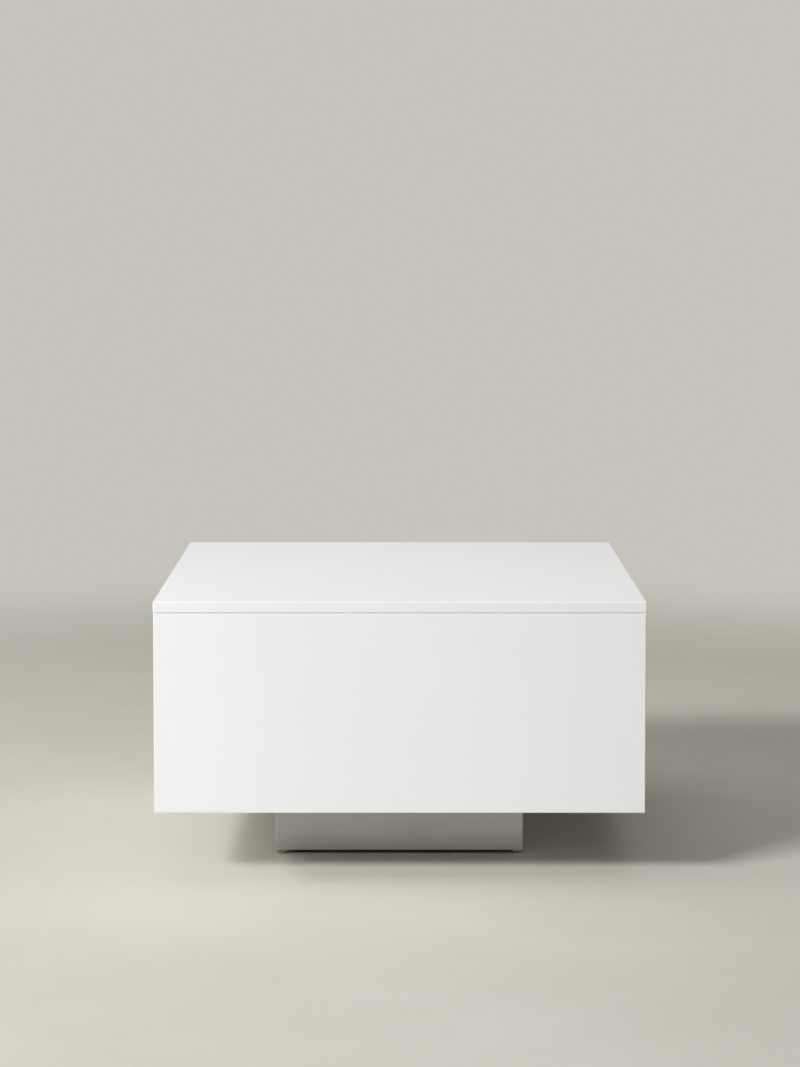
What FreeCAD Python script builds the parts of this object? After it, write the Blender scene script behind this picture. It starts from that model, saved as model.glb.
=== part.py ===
import FreeCAD, Part
import os
import re
import Sketcher

# Coffee table with a C-shaped case of lacquered board on a set-back steel plinth.
# Frame: millimetres, +Z up, origin on the floor under the middle, front towards -Y, right towards +X.
# Every size in SIZES is a cell of the sheet, and every formula below is written with those names.

SHEET = "Sizes"
SIZES = (
    ("table_width", 800, "overall width, left to right"),
    ("table_depth", 800, "overall depth, front to rear"),
    ("table_height", 457, "floor to the upper face of the top"),
    ("top_board", 18, "thickness of the top"),
    ("case_board", 18, "thickness of front panel, floor panel and partitions"),
    ("edge_radius", 1.2, "eased arris of every board"),
    ("top_overhang", 0.6, "how far the top stands proud of the case on each side"),
    ("seam_gap", 0.5, "shadow gap between the top and the front panel"),
    ("plinth_width", 420, "outside width of the plinth"),
    ("plinth_depth", 420, "outside depth of the plinth"),
    ("plinth_height", 106, "height of the plinth's skirt"),
    ("skirt_sheet", 1.2, "thickness of the skirt's sheet steel"),
    ("bend_radius", 3, "outside radius of the skirt's folded corners"),
    ("skirt_edge", 0.5, "rounding of the skirt's lower edge"),
    ("tube_size", 20, "outside width of the frame's square tube"),
    ("tube_wall", 2, "wall of the square tube"),
    ("tube_corner", 2.5, "outside corner radius of the square tube"),
    ("plate_size", 50, "side of a corner plate"),
    ("plate_thickness", 4, "thickness of a corner plate"),
    ("plinth_bolt_size", 6, "thread of the bolts that hold the plinth"),
    ("plinth_bolt_length", 16, "length of those bolts under the head"),
    ("plinth_bolt_head", 10.5, "diameter of the button head"),
    ("plinth_bolt_head_height", 3.3, "height of the button head"),
    ("plinth_bolt_socket", 4, "width across the flats of the hexagon socket"),
    ("plinth_bolt_socket_depth", 2, "depth of the hexagon socket"),
    ("plinth_bolt_play", 0.3, "radial play of those bolts in plate and washer"),
    ("washer_size", 12, "outside diameter of the washers"),
    ("washer_thickness", 1.6, "thickness of the washers"),
    ("insert_size", 10, "outside diameter of the threaded inserts in the floor panel"),
    ("insert_length", 13, "length of those inserts"),
    ("screw_size", 4, "thread of the rear skirt's screws"),
    ("screw_length", 8, "length of those screws under the head"),
    ("screw_head", 7.6, "diameter of their button heads"),
    ("screw_head_height", 2.2, "height of their button heads"),
    ("screw_socket", 2.5, "width across the flats of their hexagon sockets"),
    ("screw_socket_depth", 1.3, "depth of those sockets"),
    ("screw_inset", 105, "side of the plinth to the nearer screw"),
    ("screw_play", 0.25, "radial play of those screws in the rear skirt"),
    ("foot_gap", 5, "floor to the lower edge of the plinth"),
    ("foot_diameter", 17.5, "rim of a levelling foot"),
    ("foot_chamfer", 0.5, "chamfer on the rim"),
    ("foot_clearance", 0.3, "gap over the rim when the foot is screwed right in"),
    ("flute_count", 20, "finger flutes round the rim"),
    ("flute_radius", 0.7, "radius of a flute"),
    ("stud_size", 8, "thread of a levelling foot"),
    ("stud_length", 30, "length of the thread above the rim"),
    ("stud_chamfer", 1, "chamfer on the thread's end"),
    ("plug_flange", 3, "thickness of a tube plug's flange"),
    ("plug_length", 20, "length of a tube plug inside the tube"),
    ("sole_diameter", 15.5, "sole that the foot turns on"),
    ("sole_thickness", 1.5, "thickness of the sole"),
    ("pivot_neck", 5, "neck of the sole's snap pivot"),
    ("pivot_neck_height", 0.9, "height of that neck"),
    ("pivot_lip", 6, "lip of the sole's snap pivot"),
    ("pivot_lip_height", 0.7, "height of that lip"),
    ("pivot_clearance", 0.1, "running clearance of the pivot"),
    ("thread_clearance", 0.05, "radial clearance that stands for a thread's play"),
    ("cam_size", 15, "diameter of a cam lock"),
    ("cam_depth", 12.5, "depth of a cam lock"),
    ("cam_sink", 0.3, "how far a cam lock lies under the board's face"),
    ("cam_setback", 34, "joint to the middle of the cam lock"),
    ("cam_axis", 9, "board's face to the middle of the bolt that the cam lock grips"),
    ("cam_margin", 60, "end of a board to the nearest cam lock"),
    ("front_cam_margin", 100, "end of a partition's front edge to the nearest cam lock"),
    ("cam_cross_length", 8, "driver cross in the cam lock, end to end"),
    ("cam_cross_width", 1.8, "width of the driver cross"),
    ("cam_cross_depth", 2.5, "depth of the driver cross"),
    ("cam_bolt_shank", 7, "shank of a cam bolt"),
    ("cam_bolt_play", 0.5, "radial play of that shank in the board's edge"),
    ("cam_bolt_neck", 4, "neck of a cam bolt"),
    ("cam_bolt_neck_length", 5, "length of that neck"),
    ("cam_bolt_head", 6.5, "head of a cam bolt"),
    ("cam_bolt_head_length", 3, "length of that head"),
    ("cam_bolt_thread", 5, "thread of a cam bolt"),
    ("cam_bolt_grip", 11, "length of that thread"),
    ("cap_overlap", 1, "how far a cover cap reaches past its cam lock all round"),
    ("cap_thickness", 1.2, "thickness of the cover cap"),
    ("cap_round", 0.7, "rounding of the cover cap's rim"),
    ("cap_key_depth", 2, "depth of the cap's cross under the board's face"),
    ("dowel_size", 8, "diameter of a dowel"),
    ("dowel_length", 30, "length of a dowel"),
    ("dowel_face_depth", 11.5, "length of a dowel inside a board's face"),
    ("dowel_chamfer", 1, "chamfer on a dowel's ends"),
    ("dowel_spread", 118, "middle of a partition's edge to a dowel"),
    ("fit_clearance", 0.1, "radial play of plugs, cams and inserts in their holes"),
    ("end_clearance", 0.5, "play at the bottom of a blind hole"),
)
SIZE_NAMES = {alias for alias, value, note in SIZES}

# Places that several pieces share.
CASE_HALF = "(table_width / 2 - top_overhang)"
CASE_FRONT = "(top_overhang - table_depth / 2)"
CASE_REAR = "(table_depth / 2 - top_overhang)"
SPINE_BACK = f"({CASE_FRONT} + case_board)"
SPINE_MIDDLE = f"({CASE_FRONT} + case_board / 2)"
PLINTH_TOP = "(foot_gap + plinth_height)"
FLOOR_MIDDLE = f"({PLINTH_TOP} + case_board / 2)"
FLOOR_TOP = f"({PLINTH_TOP} + case_board)"
TOP_UNDERSIDE = "(table_height - top_board)"
SPINE_TOP = f"({TOP_UNDERSIDE} - seam_gap)"
FRAME_X = "(plinth_width / 2 - skirt_sheet)"
FRAME_Y = "(plinth_depth / 2 - skirt_sheet)"
FRAME_BOTTOM = "(foot_gap + plug_flange)"
POST_X = f"({FRAME_X} - tube_size / 2)"
POST_Y = f"({FRAME_Y} - tube_size / 2)"
PLATE_X = f"({FRAME_X} - tube_size - plate_size / 2)"
PLATE_Y = f"({FRAME_Y} - tube_size - plate_size / 2)"
PLATE_UNDERSIDE = f"({PLINTH_TOP} - plate_thickness)"
UPPER_RAIL = f"({PLINTH_TOP} - tube_size / 2)"
LOWER_RAIL = f"({FRAME_BOTTOM} + tube_size / 2)"
PARTITION_REAR = "(plinth_depth / 2)"
PARTITION_MIDDLE = f"(({SPINE_BACK} + {PARTITION_REAR}) / 2)"
SCREW_ACROSS = "(plinth_width / 2 - screw_inset)"
SCREW_HOLE = "(screw_size + 2 * screw_play)"
PLATE_HOLE = "(plinth_bolt_size + 2 * plinth_bolt_play)"
CAM_BOLT_BORE = "(cam_bolt_shank + 2 * cam_bolt_play)"
RIM_TOP = "(foot_gap - foot_clearance)"
RIM_BOTTOM = "(sole_thickness + pivot_clearance)"

# Directions, as unit vectors.
RIGHT = (1, 0, 0)
LEFT = (-1, 0, 0)
REAR = (0, 1, 0)
FRONT = (0, -1, 0)
UP = (0, 0, 1)
DOWN = (0, 0, -1)

CORNERS = (("front_left", -1, -1), ("front_right", 1, -1), ("rear_left", -1, 1), ("rear_right", 1, 1))
ROOT_THREE = 3 ** 0.5
FULL_TURN = 360
SAME_PLACE = 0.001

# The sketcher's own numbers for the points of a line or circle, the two axes and the origin.
START, END, CENTRE = range(1, 4)
X_AXIS, Y_AXIS = range(-1, -3, -1)
ORIGIN = X_AXIS

doc = FreeCAD.newDocument("coffee_table")
sheet = doc.addObject("Spreadsheet::Sheet", SHEET)
sub_parts = []


def cells(formula):
    """Write a formula's size names as references to the sheet."""
    named = re.sub(r"[a-z_]+", lambda word: f"{SHEET}.{word.group()}", formula)
    unknown = set(re.findall(r"[a-z_]+", formula)) - SIZE_NAMES
    if unknown:
        raise ValueError(f"no size named {sorted(unknown)}")
    return named


def bind(item, field, formula):
    item.setExpression(field, cells(str(formula)))


def fill_sheet():
    for row, (alias, value, note) in enumerate(SIZES, start=1):
        sheet.set(f"A{row}", note)
        sheet.set(f"B{row}", str(value))
        sheet.setAlias(f"B{row}", alias)
    doc.recompute()


def new_body(label, place=("0", "0", "0")):
    """Start a body whose own origin lies at the given place."""
    body = doc.addObject("PartDesign::Body", label)
    body.Label = label
    for axis, formula in zip("xyz", place):
        bind(body, f"Placement.Base.{axis}", formula)
    return body


def sketch_on(body, plane, lift="0"):
    """Start a sketch on one of the body's origin planes, lifted along that plane's normal."""
    sketch = body.newObject("Sketcher::SketchObject", "sketch")
    role = f"{plane}_Plane"
    support = next(item for item in body.Origin.OriginFeatures if item.Role == role)
    sketch.AttachmentSupport = [(support, "")]
    sketch.MapMode = "FlatFace"
    bind(sketch, "AttachmentOffset.Base.z", lift)
    return sketch


def fix_point(sketch, geometry, point, across, along):
    """Tie a point of the sketch to formulas for its two coordinates."""
    for kind, formula, axis in (("DistanceX", across, Y_AXIS), ("DistanceY", along, X_AXIS)):
        if formula == "0":
            sketch.addConstraint(Sketcher.Constraint("PointOnObject", geometry, point, axis))
            continue
        rule = sketch.addConstraint(Sketcher.Constraint(kind, ORIGIN, START, geometry, point, 1.0))
        bind(sketch, f"Constraints[{rule}]", formula)


def draw_polygon(sketch, points):
    """Draw a closed outline of straight lines through points given as formulas."""
    count = len(points)
    first = sketch.GeometryCount
    spots = [FreeCAD.Vector(step, step * step, 0) for step in range(1, count + 1)]
    for step in range(count):
        sketch.addGeometry(Part.LineSegment(spots[step], spots[(step + 1) % count]))
    for step in range(count):
        after = first + (step + 1) % count
        sketch.addConstraint(Sketcher.Constraint("Coincident", first + step, END, after, START))
    for step, (across, along) in enumerate(points):
        fix_point(sketch, first + step, START, across, along)


def draw_rectangle(sketch, low, high):
    draw_polygon(sketch, (low, (high[0], low[1]), high, (low[0], high[1])))


def draw_circle(sketch, centre, diameter):
    circle = Part.Circle(FreeCAD.Vector(1, 1, 0), FreeCAD.Vector(*UP), 1)
    geometry = sketch.addGeometry(circle)
    rule = sketch.addConstraint(Sketcher.Constraint("Diameter", geometry, 1.0))
    bind(sketch, f"Constraints[{rule}]", diameter)
    fix_point(sketch, geometry, CENTRE, *centre)


def pad(body, sketch, length, against=False):
    """Raise the sketch along its normal, or against it."""
    feature = body.newObject("PartDesign::Pad", "pad")
    feature.Profile = sketch
    feature.Reversed = against
    bind(feature, "Length", length)
    doc.recompute()
    return feature


def pocket(body, sketch, length, along=False):
    """Cut against the sketch's normal, or along it, and make sure that it cuts."""
    before = body.Shape.Volume
    feature = body.newObject("PartDesign::Pocket", "pocket")
    feature.Profile = sketch
    feature.Reversed = along
    bind(feature, "Length", length)
    doc.recompute()
    if not body.Shape.Volume < before:
        raise RuntimeError(f"a pocket of {body.Label} cuts nothing")
    return feature


def revolve(body, points):
    """Turn a half profile of (radius, height) points about the body's Z axis."""
    sketch = sketch_on(body, "XZ")
    draw_polygon(sketch, points)
    feature = body.newObject("PartDesign::Revolution", "revolution")
    feature.Profile = sketch
    feature.ReferenceAxis = (sketch, ["V_Axis"])
    doc.recompute()
    return feature


def round_edges(body, base, radius, edges=None):
    """Round the chosen edges of a feature, or all of them."""
    feature = body.newObject("PartDesign::Fillet", "fillet")
    feature.Base = (base, edges or [""])
    feature.UseAllEdges = edges is None
    bind(feature, "Radius", radius)
    doc.recompute()
    return feature


def edges_where(feature, test):
    """Name the edges of a feature that pass a test."""
    named = enumerate(feature.Shape.Edges, start=1)
    return [f"Edge{number}" for number, edge in named if test(edge)]


def upright(edge):
    spread = edge.BoundBox
    return spread.ZLength > max(spread.XLength, spread.YLength)


def at_depth(edge, depth):
    spread = edge.BoundBox
    return max(abs(spread.YMin - depth), abs(spread.YMax - depth)) < SAME_PLACE


def at_bottom(edge):
    return edge.BoundBox.ZMax < SAME_PLACE


def outside_bottom(edge):
    """True for the lower edges on the outside of the folded skirt, its two open ends left out."""
    middle = edge.CenterOfMass
    inside_x = sheet.plinth_width / 2 - sheet.skirt_sheet
    inside_y = sheet.plinth_depth / 2 - sheet.skirt_sheet
    outside = abs(middle.x) > inside_x + SAME_PLACE or middle.y < -inside_y - SAME_PLACE
    return at_bottom(edge) and outside and middle.y < inside_y


def board(label, low, high):
    """A board with eased arrises between two corners; its origin is the low corner."""
    body = new_body(label, low)
    size = [f"({end} - ({start}))" for start, end in zip(low, high)]
    outline = sketch_on(body, "XY")
    draw_rectangle(outline, ("0", "0"), (size[0], size[1]))
    slab = pad(body, outline, size[2])
    round_edges(body, slab, "edge_radius")
    sub_parts.append(body)
    return {"body": body, "low": low, "size": size}


def drill(panel, face, points, diameter, depth):
    """Bore round holes into a board's face at points given in the table's own frame."""
    plane, across, along, lift, with_normal = {
        DOWN: ("XY", 0, 1, "0", True),
        UP: ("XY", 0, 1, panel["size"][2], False),
        FRONT: ("XZ", 0, 2, "0", False),
        REAR: ("XZ", 0, 2, f"-{panel['size'][1]}", True),
        LEFT: ("YZ", 1, 2, "0", True),
        RIGHT: ("YZ", 1, 2, panel["size"][0], False),
    }[face]
    low = panel["low"]
    sketch = sketch_on(panel["body"], plane, lift)
    for point in points:
        centre = [f"({point[axis]} - ({low[axis]}))" for axis in (across, along)]
        draw_circle(sketch, centre, diameter)
    pocket(panel["body"], sketch, depth, with_normal)


def group(label, pattern, places):
    """One node of separate copies of a pattern piece; each place is a point and a turn."""
    copies = []
    for point, turn in places:
        copy = doc.addObject("App::Link", f"{label}_copy")
        copy.LinkedObject = pattern
        copy.LinkTransform = False
        copy.Placement = FreeCAD.Placement(FreeCAD.Vector(), turn)
        for axis, formula in zip("xyz", point):
            bind(copy, f"Placement.Base.{axis}", formula)
        copies.append(copy)
    together = doc.addObject("Part::Compound", label)
    together.Label = label
    together.Links = copies
    sub_parts.append(together)


def turned(up, forward=None):
    """The turn that takes +Z to up and, where given, +X to forward."""
    if forward is None:
        return FreeCAD.Rotation(FreeCAD.Vector(*UP), FreeCAD.Vector(*up))
    none = FreeCAD.Vector()
    return FreeCAD.Rotation(FreeCAD.Vector(*forward), none, FreeCAD.Vector(*up), "ZXY")


def moved(point, direction, distance):
    """The formulas of a point shifted along a unit direction."""
    return tuple(f"({start} + {step} * {distance})" for start, step in zip(point, direction))


def opposite(direction):
    return tuple(-step for step in direction)


def make_boards():
    """The C of top, spine and floor, and the two partitions that carry the top over the plinth."""
    boards = {
        "top_panel": board(
            "top_panel",
            ("-table_width / 2", "-table_depth / 2", TOP_UNDERSIDE),
            ("table_width / 2", "table_depth / 2", "table_height"),
        ),
        "front_panel": board(
            "front_panel",
            (f"-{CASE_HALF}", CASE_FRONT, PLINTH_TOP),
            (CASE_HALF, SPINE_BACK, SPINE_TOP),
        ),
        "floor_panel": board(
            "floor_panel",
            (f"-{CASE_HALF}", SPINE_BACK, PLINTH_TOP),
            (CASE_HALF, CASE_REAR, FLOOR_TOP),
        ),
    }
    for side, sign in (("left", -1), ("right", 1)):
        middle = f"{sign} * {POST_X}"
        boards[f"{side}_partition"] = board(
            f"{side}_partition",
            (f"({middle} - case_board / 2)", SPINE_BACK, FLOOR_TOP),
            (f"({middle} + case_board / 2)", PARTITION_REAR, TOP_UNDERSIDE),
        )
    return boards


def join(holder, mate, into, cam_face, cam_points, dowel_points, fittings, gap="0"):
    """Drill two boards for cam locks and dowels, and note where those fittings go.

    The points lie on the mate's face, in the middle of the holder's thickness; into points from there
    into the holder's edge.
    """
    out = opposite(into)
    if cam_points:
        bolt_points = [moved(point, cam_face, "(case_board / 2 - cam_axis)") for point in cam_points]
        drill(mate, into, bolt_points, "(cam_bolt_thread + 2 * thread_clearance)",
              "(cam_bolt_grip + end_clearance)")
        drill(holder, out, bolt_points, CAM_BOLT_BORE, "cam_setback")
        middles = [moved(point, into, "cam_setback") for point in bolt_points]
        seats = [moved(middle, cam_face, "cam_axis") for middle in middles]
        drill(holder, cam_face, seats, "(cam_size + 2 * fit_clearance)",
              "(cam_sink + cam_depth + end_clearance)")
        fittings["cam_bolts"] += [(point, turned(into)) for point in bolt_points]
        fittings["cams"] += [(seat, turned(cam_face, out)) for seat in seats]
    dowel_hole = "(dowel_size + 2 * thread_clearance)"
    drill(mate, into, dowel_points, dowel_hole, "(dowel_face_depth + end_clearance)")
    drill(holder, out, dowel_points, dowel_hole, f"(dowel_length - dowel_face_depth - {gap} + end_clearance)")
    fittings["dowels"] += [(point, turned(into)) for point in dowel_points]


def join_boards(boards):
    """Cam locks and dowels along every joint of the case."""
    fittings = {"cam_bolts": [], "cams": [], "dowels": []}
    cam_depths = (f"({SPINE_BACK} + cam_margin)", PARTITION_MIDDLE, f"({PARTITION_REAR} - cam_margin)")
    dowel_depths = (f"({PARTITION_MIDDLE} - dowel_spread)", f"({PARTITION_MIDDLE} + dowel_spread)")
    cam_heights = (f"({FLOOR_TOP} + front_cam_margin)", f"({TOP_UNDERSIDE} - front_cam_margin)")
    dowel_height = f"(({FLOOR_TOP} + {TOP_UNDERSIDE}) / 2)"
    for side, sign, inward in (("left", -1, RIGHT), ("right", 1, LEFT)):
        holder = boards[f"{side}_partition"]
        middle = f"({sign} * {POST_X})"
        for mate, height, into in (("top_panel", TOP_UNDERSIDE, DOWN), ("floor_panel", FLOOR_TOP, UP)):
            cam_points = [(middle, depth, height) for depth in cam_depths]
            dowel_points = [(middle, depth, height) for depth in dowel_depths]
            join(holder, boards[mate], into, inward, cam_points, dowel_points, fittings)
        cam_points = [(middle, SPINE_BACK, height) for height in cam_heights]
        dowel_points = [(middle, SPINE_BACK, dowel_height)]
        join(holder, boards["front_panel"], REAR, inward, cam_points, dowel_points, fittings)
    outer = f"({CASE_HALF} - cam_margin)"
    inner = f"({POST_X} / 2)"
    between = f"(({outer} + {inner}) / 2)"
    cam_across = (f"-{outer}", f"-{inner}", inner, outer)
    dowel_across = (f"-{between}", "0", between)
    cam_points = [(across, SPINE_BACK, FLOOR_MIDDLE) for across in cam_across]
    dowel_points = [(across, SPINE_BACK, FLOOR_MIDDLE) for across in dowel_across]
    join(boards["floor_panel"], boards["front_panel"], REAR, DOWN, cam_points, dowel_points, fittings)
    dowel_points = [(across, SPINE_MIDDLE, TOP_UNDERSIDE) for across in dowel_across]
    join(boards["front_panel"], boards["top_panel"], DOWN, REAR, [], dowel_points, fittings, "seam_gap")
    return fittings


def cam_bolt():
    """Threaded end below the joint, shank above it, and a head inside the cam lock."""
    body = new_body("cam_bolt")
    head_top = "(cam_setback + cam_bolt_head_length / 2)"
    head_bottom = "(cam_setback - cam_bolt_head_length / 2)"
    neck_bottom = f"({head_bottom} - cam_bolt_neck_length)"
    revolve(body, (
        ("0", "-cam_bolt_grip"),
        ("cam_bolt_thread / 2", "-cam_bolt_grip"),
        ("cam_bolt_thread / 2", "0"),
        ("cam_bolt_shank / 2", "0"),
        ("cam_bolt_shank / 2", neck_bottom),
        ("cam_bolt_neck / 2", neck_bottom),
        ("cam_bolt_neck / 2", head_bottom),
        ("cam_bolt_head / 2", head_bottom),
        ("cam_bolt_head / 2", head_top),
        ("0", head_top),
    ))
    return body


def draw_cross(sketch, length, width):
    """A cross with arms along both axes of the sketch."""
    reach = f"{length} / 2"
    half = f"{width} / 2"
    draw_polygon(sketch, (
        (f"-{half}", f"-{reach}"), (half, f"-{reach}"), (half, f"-{half}"), (reach, f"-{half}"),
        (reach, half), (half, half), (half, reach), (f"-{half}", reach),
        (f"-{half}", half), (f"-{reach}", half), (f"-{reach}", f"-{half}"), (f"-{half}", f"-{half}"),
    ))


def cam_lock():
    """A drum under the board's face with a driver cross, slotted towards +X for the bolt's head."""
    body = new_body("cam_lock")
    face = sketch_on(body, "XY", "-cam_sink")
    draw_circle(face, ("0", "0"), "cam_size")
    pad(body, face, "cam_depth", against=True)
    cross = sketch_on(body, "XY", "-cam_sink")
    draw_cross(cross, "cam_cross_length", "cam_cross_width")
    pocket(body, cross, "cam_cross_depth")
    half_slot = f"({CAM_BOLT_BORE} / 2)"
    slot = sketch_on(body, "XY", f"({half_slot} - cam_axis)")
    draw_rectangle(slot, ("-cam_bolt_head_length", f"-{half_slot}"), ("cam_size", half_slot))
    pocket(body, slot, "cam_depth")
    return body


def cover_cap():
    """A thin round cap on the board's face, with a cross that plugs into the cam lock."""
    body = new_body("cover_cap")
    disc = sketch_on(body, "XY")
    draw_circle(disc, ("0", "0"), "(cam_size + 2 * cap_overlap)")
    plate = pad(body, disc, "cap_thickness")
    rim = edges_where(plate, lambda edge: edge.BoundBox.ZMin > SAME_PLACE)
    round_edges(body, plate, "cap_round", rim)
    key = sketch_on(body, "XY")
    draw_cross(key, "(cam_cross_length - 2 * fit_clearance)", "(cam_cross_width - 2 * fit_clearance)")
    pad(body, key, "cap_key_depth", against=True)
    return body


def wood_dowel():
    body = new_body("wood_dowel")
    low = "-dowel_face_depth"
    high = "(dowel_length - dowel_face_depth)"
    tip = "(dowel_size / 2 - dowel_chamfer)"
    revolve(body, (
        ("0", low),
        (tip, low),
        ("dowel_size / 2", f"({low} + dowel_chamfer)"),
        ("dowel_size / 2", f"({high} - dowel_chamfer)"),
        (tip, high),
        ("0", high),
    ))
    return body


def square_tube(label, low, length, axis):
    """A square tube that runs along one axis from the middle of its low end."""
    body = new_body(label, low)
    sideways = DOWN if axis == RIGHT else RIGHT
    body.Placement = FreeCAD.Placement(FreeCAD.Vector(), turned(axis, sideways))
    section = sketch_on(body, "XY")
    draw_rectangle(section, ("-tube_size / 2", "-tube_size / 2"), ("tube_size / 2", "tube_size / 2"))
    bar = pad(body, section, length)
    round_edges(body, bar, "tube_corner", edges_where(bar, upright))
    bore = sketch_on(body, "XY")
    inside = "(tube_size / 2 - tube_wall)"
    draw_rectangle(bore, (f"-{inside}", f"-{inside}"), (inside, inside))
    pocket(body, bore, length, along=True)
    sub_parts.append(body)
    return body


def make_frame():
    """Four posts and two rings of rails, in square tube."""
    across = f"({FRAME_X} - tube_size)"
    deep = f"({FRAME_Y} - tube_size)"
    for corner, x_sign, y_sign in CORNERS:
        foot = (f"{x_sign} * {POST_X}", f"{y_sign} * {POST_Y}", FRAME_BOTTOM)
        square_tube(f"{corner}_post", foot, "(plinth_height - plug_flange)", UP)
    for level, height in (("upper", UPPER_RAIL), ("lower", LOWER_RAIL)):
        square_tube(f"{level}_front_rail", (f"-{across}", f"-{POST_Y}", height), f"2 * {across}", RIGHT)
        rear_rail = square_tube(f"{level}_rear_rail", (f"-{across}", POST_Y, height), f"2 * {across}", RIGHT)
        taps = sketch_on(rear_rail, "XZ", "-tube_size / 2")
        for sign in (-1, 1):
            place = ("0", f"({sign} * {SCREW_ACROSS} + {across})")
            draw_circle(taps, place, "(screw_size + 2 * thread_clearance)")
        pocket(rear_rail, taps, "tube_wall", along=True)
        for side, sign in (("left", -1), ("right", 1)):
            start = (f"{sign} * {POST_X}", f"-{deep}", height)
            square_tube(f"{level}_{side}_rail", start, f"2 * {deep}", REAR)


def make_skirt():
    """A sheet folded round the front and both sides, and a flat sheet that closes the rear."""
    wrap = new_body("front_skirt", ("0", "0", "foot_gap"))
    outline = sketch_on(wrap, "XY")
    half = "plinth_width / 2"
    deep = "plinth_depth / 2"
    draw_polygon(outline, (
        (f"-{half}", f"-{deep}"), (half, f"-{deep}"), (half, deep), (FRAME_X, deep),
        (FRAME_X, f"-{FRAME_Y}"), (f"-{FRAME_X}", f"-{FRAME_Y}"), (f"-{FRAME_X}", deep), (f"-{half}", deep),
    ))
    flat = pad(wrap, outline, "plinth_height")
    outer_depth = -sheet.plinth_depth / 2
    outer = edges_where(flat, lambda edge: upright(edge) and at_depth(edge, outer_depth))
    folded = round_edges(wrap, flat, "bend_radius", outer)
    inner_depth = outer_depth + sheet.skirt_sheet
    inner = edges_where(folded, lambda edge: upright(edge) and at_depth(edge, inner_depth))
    bent = round_edges(wrap, folded, "(bend_radius - skirt_sheet)", inner)
    round_edges(wrap, bent, "skirt_edge", edges_where(bent, outside_bottom))
    sub_parts.append(wrap)

    rear = new_body("rear_skirt", ("0", FRAME_Y, "foot_gap"))
    panel = sketch_on(rear, "XZ")
    draw_rectangle(panel, (f"-{FRAME_X}", "0"), (FRAME_X, "plinth_height"))
    cover = pad(rear, panel, "skirt_sheet", against=True)
    lower = edges_where(cover, lambda edge: at_bottom(edge) and at_depth(edge, sheet.skirt_sheet))
    round_edges(rear, cover, "skirt_edge", lower)
    holes = sketch_on(rear, "XZ")
    for sign in (-1, 1):
        for height in (UPPER_RAIL, LOWER_RAIL):
            draw_circle(holes, (f"{sign} * {SCREW_ACROSS}", f"({height} - foot_gap)"), SCREW_HOLE)
    pocket(rear, holes, "skirt_sheet")
    sub_parts.append(rear)


def button_screw(label, size, length, head, head_height):
    """A screw along +Z with its button head below the origin."""
    body = new_body(label)
    revolve(body, (
        ("0", f"-{head_height}"),
        (f"{size} / 2", f"-{head_height}"),
        (f"{head} / 2", f"-{head_height} / 2"),
        (f"{head} / 2", "0"),
        (f"{size} / 2", "0"),
        (f"{size} / 2", length),
        ("0", length),
    ))
    return body


def hexagon_socket(body, width, depth, lift):
    """Sink a hexagon socket upwards from the lifted plane."""
    sketch = sketch_on(body, "XY", lift)
    half = f"{width} / 2"
    corner = f"{width} / {ROOT_THREE}"
    draw_polygon(sketch, (
        (corner, "0"), (f"{corner} / 2", half), (f"-{corner} / 2", half),
        (f"-{corner}", "0"), (f"-{corner} / 2", f"-{half}"), (f"{corner} / 2", f"-{half}"),
    ))
    pocket(body, sketch, depth, along=True)


def ring(label, outside, inside, height):
    body = new_body(label)
    sketch = sketch_on(body, "XY")
    draw_circle(sketch, ("0", "0"), outside)
    draw_circle(sketch, ("0", "0"), inside)
    pad(body, sketch, height)
    return body


def tube_plug():
    """A flange that closes the post's end and a threaded plug that fills its bore."""
    body = new_body("tube_plug")
    flange = sketch_on(body, "XY")
    half = "tube_size / 2"
    draw_rectangle(flange, (f"-{half}", f"-{half}"), (half, half))
    plate = pad(body, flange, "plug_flange")
    round_edges(body, plate, "tube_corner", edges_where(plate, upright))
    core = sketch_on(body, "XY", "plug_flange")
    inside = "(tube_size / 2 - tube_wall - fit_clearance)"
    draw_rectangle(core, (f"-{inside}", f"-{inside}"), (inside, inside))
    pad(body, core, "plug_length")
    bore = sketch_on(body, "XY")
    draw_circle(bore, ("0", "0"), "(stud_size + 2 * thread_clearance)")
    pocket(body, bore, "(plug_flange + plug_length)", along=True)
    return body


def corner_plate():
    body = new_body("corner_plate")
    sketch = sketch_on(body, "XY")
    half = "plate_size / 2"
    draw_rectangle(sketch, (f"-{half}", f"-{half}"), (half, half))
    draw_circle(sketch, ("0", "0"), PLATE_HOLE)
    pad(body, sketch, "plate_thickness")
    return body


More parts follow.
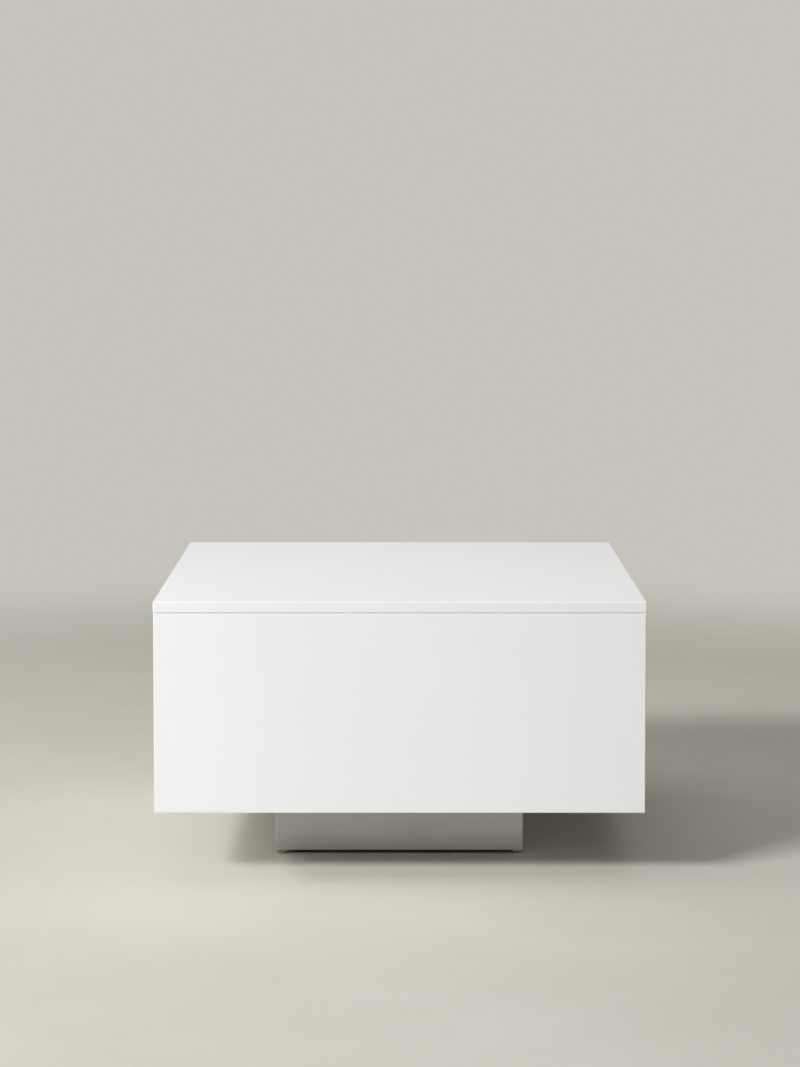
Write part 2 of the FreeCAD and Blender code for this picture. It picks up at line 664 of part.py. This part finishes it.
def make_foot(corner, x_sign, y_sign):
    """A threaded foot with a fluted rim, and the sole that it snaps on and turns on."""
    place = (f"{x_sign} * {POST_X}", f"{y_sign} * {POST_Y}", "0")
    lip_bottom = "(sole_thickness + pivot_neck_height)"
    lip_top = f"({lip_bottom} + pivot_lip_height)"
    sole = new_body(f"{corner}_sole", place)
    revolve(sole, (
        ("0", "0"),
        ("sole_diameter / 2", "0"),
        ("sole_diameter / 2", "sole_thickness"),
        ("pivot_neck / 2", "sole_thickness"),
        ("pivot_neck / 2", lip_bottom),
        ("pivot_lip / 2", lip_bottom),
        ("pivot_lip / 2", lip_top),
        ("0", lip_top),
    ))
    sub_parts.append(sole)

    foot = new_body(f"{corner}_foot", place)
    mouth = "(pivot_neck / 2 + pivot_clearance)"
    chamber = "(pivot_lip / 2 + pivot_clearance)"
    ledge = f"({lip_bottom} - pivot_clearance)"
    roof = f"({lip_top} + pivot_clearance)"
    rim = "foot_diameter / 2"
    stud_top = f"({RIM_TOP} + stud_length)"
    revolve(foot, (
        (mouth, RIM_BOTTOM),
        (f"({rim} - foot_chamfer)", RIM_BOTTOM),
        (rim, f"({RIM_BOTTOM} + foot_chamfer)"),
        (rim, f"({RIM_TOP} - foot_chamfer)"),
        (f"({rim} - foot_chamfer)", RIM_TOP),
        ("stud_size / 2", RIM_TOP),
        ("stud_size / 2", f"({stud_top} - stud_chamfer)"),
        ("(stud_size / 2 - stud_chamfer)", stud_top),
        ("0", stud_top),
        ("0", roof),
        (chamber, roof),
        (chamber, ledge),
        (mouth, ledge),
    ))
    flute = sketch_on(foot, "XY")
    draw_circle(flute, (rim, "0"), "2 * flute_radius")
    cut = pocket(foot, flute, "foot_gap", along=True)
    flutes = foot.newObject("PartDesign::PolarPattern", "flutes")
    flutes.Originals = [cut]
    flutes.Axis = (next(item for item in foot.Origin.OriginFeatures if item.Role == "Z_Axis"), [""])
    flutes.Angle = FULL_TURN
    bind(flutes, "Occurrences", "flute_count")
    foot.Tip = flutes
    sub_parts.append(foot)


def at_corners(across, deep, height, turn=FreeCAD.Rotation()):
    """Four places, mirrored left to right and front to rear."""
    return [((f"{x_sign} * {across}", f"{y_sign} * {deep}", height), turn) for _, x_sign, y_sign in CORNERS]


def make_plinth_fixings(floor_panel):
    """Plates welded into the upper ring, bolted up into threaded inserts in the floor panel."""
    insert_places = at_corners(PLATE_X, PLATE_Y, PLINTH_TOP)
    drill(floor_panel, DOWN, [point for point, turn in insert_places],
          "(insert_size + 2 * fit_clearance)", "(insert_length + end_clearance)")
    thread = "(plinth_bolt_size + 2 * thread_clearance)"
    group("panel_inserts", ring("panel_insert", "insert_size", thread, "insert_length"), insert_places)
    group("corner_plates", corner_plate(), at_corners(PLATE_X, PLATE_Y, PLATE_UNDERSIDE))
    washer_bottom = f"({PLATE_UNDERSIDE} - washer_thickness)"
    washer = ring("plinth_washer", "washer_size", PLATE_HOLE, "washer_thickness")
    group("plinth_washers", washer, at_corners(PLATE_X, PLATE_Y, washer_bottom))
    bolt = button_screw("plinth_bolt", "plinth_bolt_size", "plinth_bolt_length",
                        "plinth_bolt_head", "plinth_bolt_head_height")
    hexagon_socket(bolt, "plinth_bolt_socket", "plinth_bolt_socket_depth", "-plinth_bolt_head_height")
    group("plinth_bolts", bolt, at_corners(PLATE_X, PLATE_Y, washer_bottom))


def make_skirt_screws():
    screw = button_screw("skirt_screw", "screw_size", "screw_length", "screw_head", "screw_head_height")
    hexagon_socket(screw, "screw_socket", "screw_socket_depth", "-screw_head_height")
    places = []
    for sign in (-1, 1):
        for height in (UPPER_RAIL, LOWER_RAIL):
            place = (f"{sign} * {SCREW_ACROSS}", "plinth_depth / 2", height)
            places.append((place, turned(FRONT)))
    group("skirt_screws", screw, places)


def write_parts():
    """Write every sub-part, once all of them are sound."""
    doc.recompute()
    failed = [item.Label for item in doc.Objects if {"Invalid", "Error"} & set(item.State)]
    failed += [part.Label for part in sub_parts if part.Shape.isNull() or not part.Shape.isValid()]
    if failed:
        raise RuntimeError(f"failed: {failed}")
    os.makedirs("parts", exist_ok=True)
    for part in sub_parts:
        part.Shape.exportStep(f"parts/{part.Label}.step")


fill_sheet()
case = make_boards()
case_fittings = join_boards(case)
group("cam_bolts", cam_bolt(), case_fittings["cam_bolts"])
group("cam_locks", cam_lock(), case_fittings["cams"])
group("cover_caps", cover_cap(), case_fittings["cams"])
group("wood_dowels", wood_dowel(), case_fittings["dowels"])
make_frame()
make_skirt()
make_plinth_fixings(case["floor_panel"])
make_skirt_screws()
group("tube_plugs", tube_plug(), at_corners(POST_X, POST_Y, "foot_gap"))
for foot_corner in CORNERS:
    make_foot(*foot_corner)
write_parts()
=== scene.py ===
import math

import bmesh
import bpy
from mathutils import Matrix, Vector

# Coffee table with a C-shaped case of lacquered board on a set-back steel plinth.
# Metres, +Z up, origin on the floor under the middle, front towards -Y, right towards +X.

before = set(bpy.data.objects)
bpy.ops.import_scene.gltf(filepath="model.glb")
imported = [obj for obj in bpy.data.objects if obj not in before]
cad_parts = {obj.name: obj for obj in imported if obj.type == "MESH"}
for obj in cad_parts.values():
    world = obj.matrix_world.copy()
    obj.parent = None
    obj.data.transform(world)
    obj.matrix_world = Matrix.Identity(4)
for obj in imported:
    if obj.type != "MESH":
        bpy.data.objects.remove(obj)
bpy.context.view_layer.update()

# Camera at the photograph's viewing angle, for a picture of 800 by 1067. Its pitch is down from level.
CAMERA_PLACE = (0.0005, -4.7597, 1.0853)
CAMERA_PITCH = math.radians(3.835)
CAMERA_LEVEL = math.radians(90.0)
CAMERA_LENS = 91.56
CAMERA_SENSOR = 36.0
CAMERA_SHIFT_Y = -0.13

# Round floor, which fades into the backdrop between two distances from the table.
# It lies slightly lower than the soles, so that their faces don't share a plane with it.
FLOOR_RADIUS = 9.0
FLOOR_SIDES = 128
FLOOR_DROP = 0.0003
FLOOR_FADE = (1.5, 3.6)
FLOOR_DARK = (0.533, 0.506, 0.448, 1)
FLOOR_LIGHT = (0.577, 0.549, 0.490, 1)

# Backdrop as the camera and reflections see it, and the even light that comes from all round.
BACKDROP = (0.565, 0.546, 0.490, 1)
BACKDROP_LEVEL = 1.0
AMBIENT = (1.0, 0.950, 0.850, 1)
AMBIENT_LEVEL = 0.145

# Lamps: name, place, what it is aimed at, width and height in metres, power in watts, colour, and whether
# it shows in reflections. Only the broad top lamp does: the glare of the others would clip the white boards.
LAMPS = (
    ("key_lamp", (-3.92, -3.86, 3.50), (0.0, 0.0, 0.25), (2.0, 0.85), 449.0, (0.942, 0.971, 1.0), False),
    ("top_lamp", (-0.1, 0.3, 3.0), (0.0, 0.0, 0.4), (3.5, 3.5), 35.5, (0.960, 0.982, 1.0), True),
    ("left_lamp", (-3.0, 1.8, 2.0), (0.0, 0.0, 0.1), (2.2, 1.6), 10.0, (1.0, 0.990, 0.965), False),
    ("rear_lamp", (3.3, 4.0, 0.5), (0.0, 0.0, 0.25), (3.0, 0.8), 56.0, (1.0, 0.965, 0.900), False),
)

# Small lamp with a narrow beam for the floor under the left overhang. It lights nothing but the floor.
OVERHANG_LAMP = (
    "overhang_lamp", (-1.6, -0.2, 0.72), (-0.15, -0.2, 0.0), (1.0, 0.12), 0.64, (1.0, 0.985, 0.965), False
)
OVERHANG_LAMP_SPREAD = math.radians(28.0)

# Most values of a noise texture lie in this range.
NOISE_LOW = 0.3
NOISE_HIGH = 0.7

# Sockets that share a name with others on their node, by their place on it.
MIX_COLOUR_FIRST = 6
MIX_COLOUR_SECOND = 7
MIX_COLOUR_RESULT = 2
MATH_FIRST = 0
MATH_SECOND = 1
MIX_SHADER_FIRST = 1
MIX_SHADER_SECOND = 2


def add_node(tree, kind, inputs=None, **settings):
    """Add a node with its settings. Each input is a value or the socket that feeds it."""
    node = tree.nodes.new(kind)
    for setting, value in settings.items():
        setattr(node, setting, value)
    for socket, value in (inputs or {}).items():
        if isinstance(value, bpy.types.NodeSocket):
            tree.links.new(value, node.inputs[socket])
        else:
            node.inputs[socket].default_value = value
    return node


def blend(tree, share, first, second):
    """Mix two shaders by a share, from the first at 0 to the second at 1."""
    inputs = {"Fac": share, MIX_SHADER_FIRST: first, MIX_SHADER_SECOND: second}
    return add_node(tree, "ShaderNodeMixShader", inputs).outputs["Shader"]


def larger(tree, first, second):
    """The larger of two values."""
    inputs = {MATH_FIRST: first, MATH_SECOND: second}
    return add_node(tree, "ShaderNodeMath", inputs, operation="MAXIMUM").outputs["Value"]


class Finish:
    """One procedural material: a Principled shader and the nodes that vary it over the surface."""

    def __init__(self, name, **sockets):
        self.material = bpy.data.materials.new(name)
        self.material.use_nodes = True
        self.tree = self.material.node_tree
        self.shader = self.tree.nodes["Principled BSDF"]
        for socket, value in sockets.items():
            self.shader.inputs[socket.replace("_", " ")].default_value = value
        self.place = self.node("ShaderNodeTexCoord").outputs["Object"]
        self.normal = None

    def node(self, kind, inputs=None, **settings):
        return add_node(self.tree, kind, inputs, **settings)

    def link(self, value, socket):
        self.tree.links.new(value, self.shader.inputs[socket])

    def noise(self, scale=1.0, detail=3.0, rough=0.5, stretch=None):
        """Noise over the surface, at a scale per metre. A stretch multiplies the scale along X, Y and Z."""
        place = self.place
        if stretch:
            place = self.node("ShaderNodeMapping", {"Vector": place, "Scale": stretch}).outputs["Vector"]
        inputs = {"Vector": place, "Scale": scale, "Detail": detail, "Roughness": rough}
        return self.node("ShaderNodeTexNoise", inputs).outputs["Fac"]

    def spread(self, value, low, high):
        """Bring a noise value to the range low to high."""
        source = {"Value": value, "From Min": NOISE_LOW, "From Max": NOISE_HIGH}
        result = {"To Min": low, "To Max": high}
        return self.node("ShaderNodeMapRange", source | result).outputs["Result"]

    def colour(self, value, dark, light):
        """Vary the colour between two tones."""
        share = self.spread(value, low=0.0, high=1.0)
        inputs = {"Factor": share, MIX_COLOUR_FIRST: dark, MIX_COLOUR_SECOND: light}
        mix = self.node("ShaderNodeMix", inputs, data_type="RGBA")
        self.link(mix.outputs[MIX_COLOUR_RESULT], "Base Color")

    def roughness(self, value, low, high):
        """Vary the roughness between two values."""
        self.link(self.spread(value, low, high), "Roughness")

    def relief(self, height, depth):
        """Add bumps of a depth in metres to those that the finish has already."""
        inputs = {"Height": height, "Distance": depth, "Strength": 1.0}
        if self.normal:
            inputs["Normal"] = self.normal
        self.normal = self.node("ShaderNodeBump", inputs).outputs["Normal"]
        self.link(self.normal, "Normal")


def lacquer():
    """Satin white lacquer sprayed on board: faint orange peel, slightly uneven sheen."""
    finish = Finish("satin_white_lacquer", Specular_IOR_Level=0.45)
    finish.colour(finish.noise(scale=2.2), dark=(0.812, 0.812, 0.810, 1), light=(0.834, 0.834, 0.832, 1))
    finish.roughness(finish.noise(scale=34.0, detail=4.0), low=0.36, high=0.45)
    finish.relief(finish.noise(scale=300.0, detail=2.0), depth=0.000014)
    finish.relief(finish.noise(scale=22.0, detail=2.0), depth=0.00004)
    return finish.material


def plinth_steel():
    """Stainless sheet brushed along its length: long fine scratches, a few deeper ones, soft cloudiness."""
    finish = Finish("brushed_stainless", Metallic=1.0, Anisotropic=0.6, Anisotropic_Rotation=0.25)
    fine = finish.noise(detail=2.0, rough=0.6, stretch=(7.0, 7.0, 2600.0))
    broad = finish.noise(stretch=(2.5, 2.5, 420.0))
    cloud = finish.noise(scale=9.0)
    finish.colour(broad, dark=(0.490, 0.488, 0.486, 1), light=(0.521, 0.519, 0.516, 1))
    scratched = finish.spread(fine, low=0.27, high=0.37)
    clouded = finish.spread(cloud, low=0.02, high=0.08)
    rough = finish.node("ShaderNodeMath", {MATH_FIRST: scratched, MATH_SECOND: clouded}, operation="ADD")
    finish.link(rough.outputs["Value"], "Roughness")
    finish.relief(fine, depth=0.000006)
    finish.relief(broad, depth=0.000003)
    around = finish.node("ShaderNodeTangent", direction_type="RADIAL", axis="Z")
    finish.link(around.outputs["Tangent"], "Tangent")
    return finish.material


def frame_paint():
    """Black powder coat: a fine pebbled skin."""
    finish = Finish("black_powder_coat", Specular_IOR_Level=0.4)
    finish.colour(finish.noise(scale=60.0), dark=(0.020, 0.020, 0.021, 1), light=(0.034, 0.034, 0.036, 1))
    finish.roughness(finish.noise(scale=400.0), low=0.46, high=0.62)
    finish.relief(finish.noise(scale=1500.0, detail=2.0), depth=0.00005)
    return finish.material


def zinc_plate():
    """Bright zinc plate: bluish and straw-coloured patches, fine tumbling marks."""
    finish = Finish("zinc_plate", Metallic=1.0)
    finish.colour(finish.noise(scale=90.0), dark=(0.50, 0.52, 0.56, 1), light=(0.62, 0.61, 0.57, 1))
    finish.roughness(finish.noise(scale=700.0, detail=4.0), low=0.26, high=0.44)
    finish.relief(finish.noise(scale=2200.0, detail=2.0), depth=0.000012)
    return finish.material


def cap_plastic():
    """White moulded plastic with a spark-eroded texture."""
    finish = Finish("white_plastic", Specular_IOR_Level=0.4)
    finish.colour(finish.noise(scale=50.0), dark=(0.775, 0.775, 0.768, 1), light=(0.805, 0.805, 0.798, 1))
    finish.roughness(finish.noise(scale=900.0), low=0.46, high=0.58)
    finish.relief(finish.noise(scale=2600.0, detail=2.0), depth=0.00002)
    return finish.material


def beech():
    """Raw beech: long grain with short dark flecks."""
    finish = Finish("raw_beech", Specular_IOR_Level=0.3)
    grain = finish.noise(detail=5.0, rough=0.6, stretch=(500.0, 500.0, 60.0))
    finish.colour(grain, dark=(0.44, 0.27, 0.14, 1), light=(0.60, 0.41, 0.24, 1))
    finish.roughness(grain, low=0.55, high=0.72)
    finish.relief(grain, depth=0.00005)
    return finish.material


def nylon(name, dark, light):
    """Moulded nylon: slightly cloudy, with a fine matt skin."""
    finish = Finish(name, Specular_IOR_Level=0.45)
    finish.colour(finish.noise(scale=120.0), dark, light)
    finish.roughness(finish.noise(scale=800.0), low=0.42, high=0.58)
    finish.relief(finish.noise(scale=2400.0, detail=2.0), depth=0.00002)
    return finish.material


def foot_nickel():
    """Satin nickel plate: fine turned rings one above the other, and slight clouding."""
    finish = Finish("satin_nickel", Metallic=1.0)
    turned = finish.noise(detail=2.0, rough=0.6, stretch=(120.0, 120.0, 5200.0))
    finish.colour(finish.noise(scale=240.0), dark=(0.74, 0.72, 0.68, 1), light=(0.82, 0.80, 0.76, 1))
    finish.roughness(turned, low=0.08, high=0.18)
    finish.relief(turned, depth=0.000008)
    return finish.material


def floor_finish():
    """Plain pale floor that fades into the backdrop far from the table and is clear from below."""
    finish = Finish("pale_floor", Specular_IOR_Level=0.25)
    finish.colour(finish.noise(scale=1.6, detail=6.0, rough=0.6), FLOOR_DARK, FLOOR_LIGHT)
    finish.roughness(finish.noise(scale=12.0, detail=4.0), low=0.62, high=0.78)
    finish.relief(finish.noise(scale=40.0, detail=5.0), depth=0.0004)
    reach = finish.node("ShaderNodeVectorMath", {"Vector": finish.place}, operation="LENGTH").outputs["Value"]
    near, far = FLOOR_FADE
    fade = finish.node("ShaderNodeMapRange", {"Value": reach, "From Min": near, "From Max": far},
                       interpolation_type="SMOOTHERSTEP")
    below = finish.node("ShaderNodeNewGeometry").outputs["Backfacing"]
    hidden = larger(finish.tree, fade.outputs["Result"], below)
    clear = finish.node("ShaderNodeBsdfTransparent")
    surface = blend(finish.tree, hidden, finish.shader.outputs["BSDF"], clear.outputs["BSDF"])
    finish.tree.links.new(surface, finish.tree.nodes["Material Output"].inputs["Surface"])
    return finish.material


def dress(nodes):
    """Give every CAD node the finish of its material slot."""
    finishes = {
        "lacquer": lacquer(),
        "plinth_steel": plinth_steel(),
        "frame_paint": frame_paint(),
        "zinc_plate": zinc_plate(),
        "cap_plastic": cap_plastic(),
        "beech": beech(),
        "plug_nylon": nylon("black_nylon", dark=(0.018, 0.018, 0.018, 1), light=(0.030, 0.030, 0.030, 1)),
        "foot_nickel": foot_nickel(),
        "sole_nylon": nylon("grey_nylon", dark=(0.17, 0.17, 0.17, 1), light=(0.23, 0.23, 0.225, 1)),
    }
    for node in nodes.values():
        for slot in node.material_slots:
            slot.material = finishes[slot.material.name]


def add_floor():
    mesh = bpy.data.meshes.new("floor")
    form = bmesh.new()
    bmesh.ops.create_circle(form, cap_ends=True, segments=FLOOR_SIDES, radius=FLOOR_RADIUS)
    form.to_mesh(mesh)
    form.free()
    floor = bpy.data.objects.new("floor", mesh)
    floor.location.z = -FLOOR_DROP
    bpy.context.scene.collection.objects.link(floor)
    mesh.materials.append(floor_finish())
    return floor


def add_world():
    """Even studio light, and the pale backdrop for what sees it directly or in a reflection."""
    world = bpy.data.worlds.new("studio")
    bpy.context.scene.world = world
    world.use_nodes = True
    tree = world.node_tree
    light = tree.nodes["Background"]
    light.inputs["Color"].default_value = AMBIENT
    light.inputs["Strength"].default_value = AMBIENT_LEVEL
    backdrop = add_node(tree, "ShaderNodeBackground", {"Color": BACKDROP, "Strength": BACKDROP_LEVEL})
    path = add_node(tree, "ShaderNodeLightPath")
    seen = path.outputs["Is Camera Ray"]
    for ray in ("Is Glossy Ray", "Is Transmission Ray"):
        seen = larger(tree, seen, path.outputs[ray])
    surface = blend(tree, seen, light.outputs["Background"], backdrop.outputs["Background"])
    tree.links.new(surface, tree.nodes["World Output"].inputs["Surface"])


def add_lamp(name, place, target, extent, power, colour, reflected):
    data = bpy.data.lights.new(name, "AREA")
    data.shape = "RECTANGLE"
    data.size, data.size_y = extent
    data.energy = power
    data.color = colour
    lamp = bpy.data.objects.new(name, data)
    bpy.context.scene.collection.objects.link(lamp)
    lamp.visible_camera = False
    lamp.visible_glossy = reflected
    lamp.location = place
    aim = Vector(target) - Vector(place)
    lamp.rotation_mode = "QUATERNION"
    lamp.rotation_quaternion = aim.to_track_quat("-Z", "Y")
    return lamp


def add_lamps(floor):
    for settings in LAMPS:
        add_lamp(*settings)
    lamp = add_lamp(*OVERHANG_LAMP)
    lamp.data.spread = OVERHANG_LAMP_SPREAD
    lit = bpy.data.collections.new("lit_by_overhang_lamp")
    lit.objects.link(floor)
    lamp.light_linking.receiver_collection = lit


def add_camera():
    data = bpy.data.cameras.new("camera")
    data.lens = CAMERA_LENS
    data.sensor_width = CAMERA_SENSOR
    data.shift_y = CAMERA_SHIFT_Y
    camera = bpy.data.objects.new("camera", data)
    bpy.context.scene.collection.objects.link(camera)
    camera.location = CAMERA_PLACE
    camera.rotation_euler = (CAMERA_LEVEL - CAMERA_PITCH, 0.0, 0.0)
    bpy.context.scene.camera = camera


dress(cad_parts)
add_world()
add_lamps(add_floor())
add_camera()
bpy.context.scene.view_settings.view_transform = "Standard"
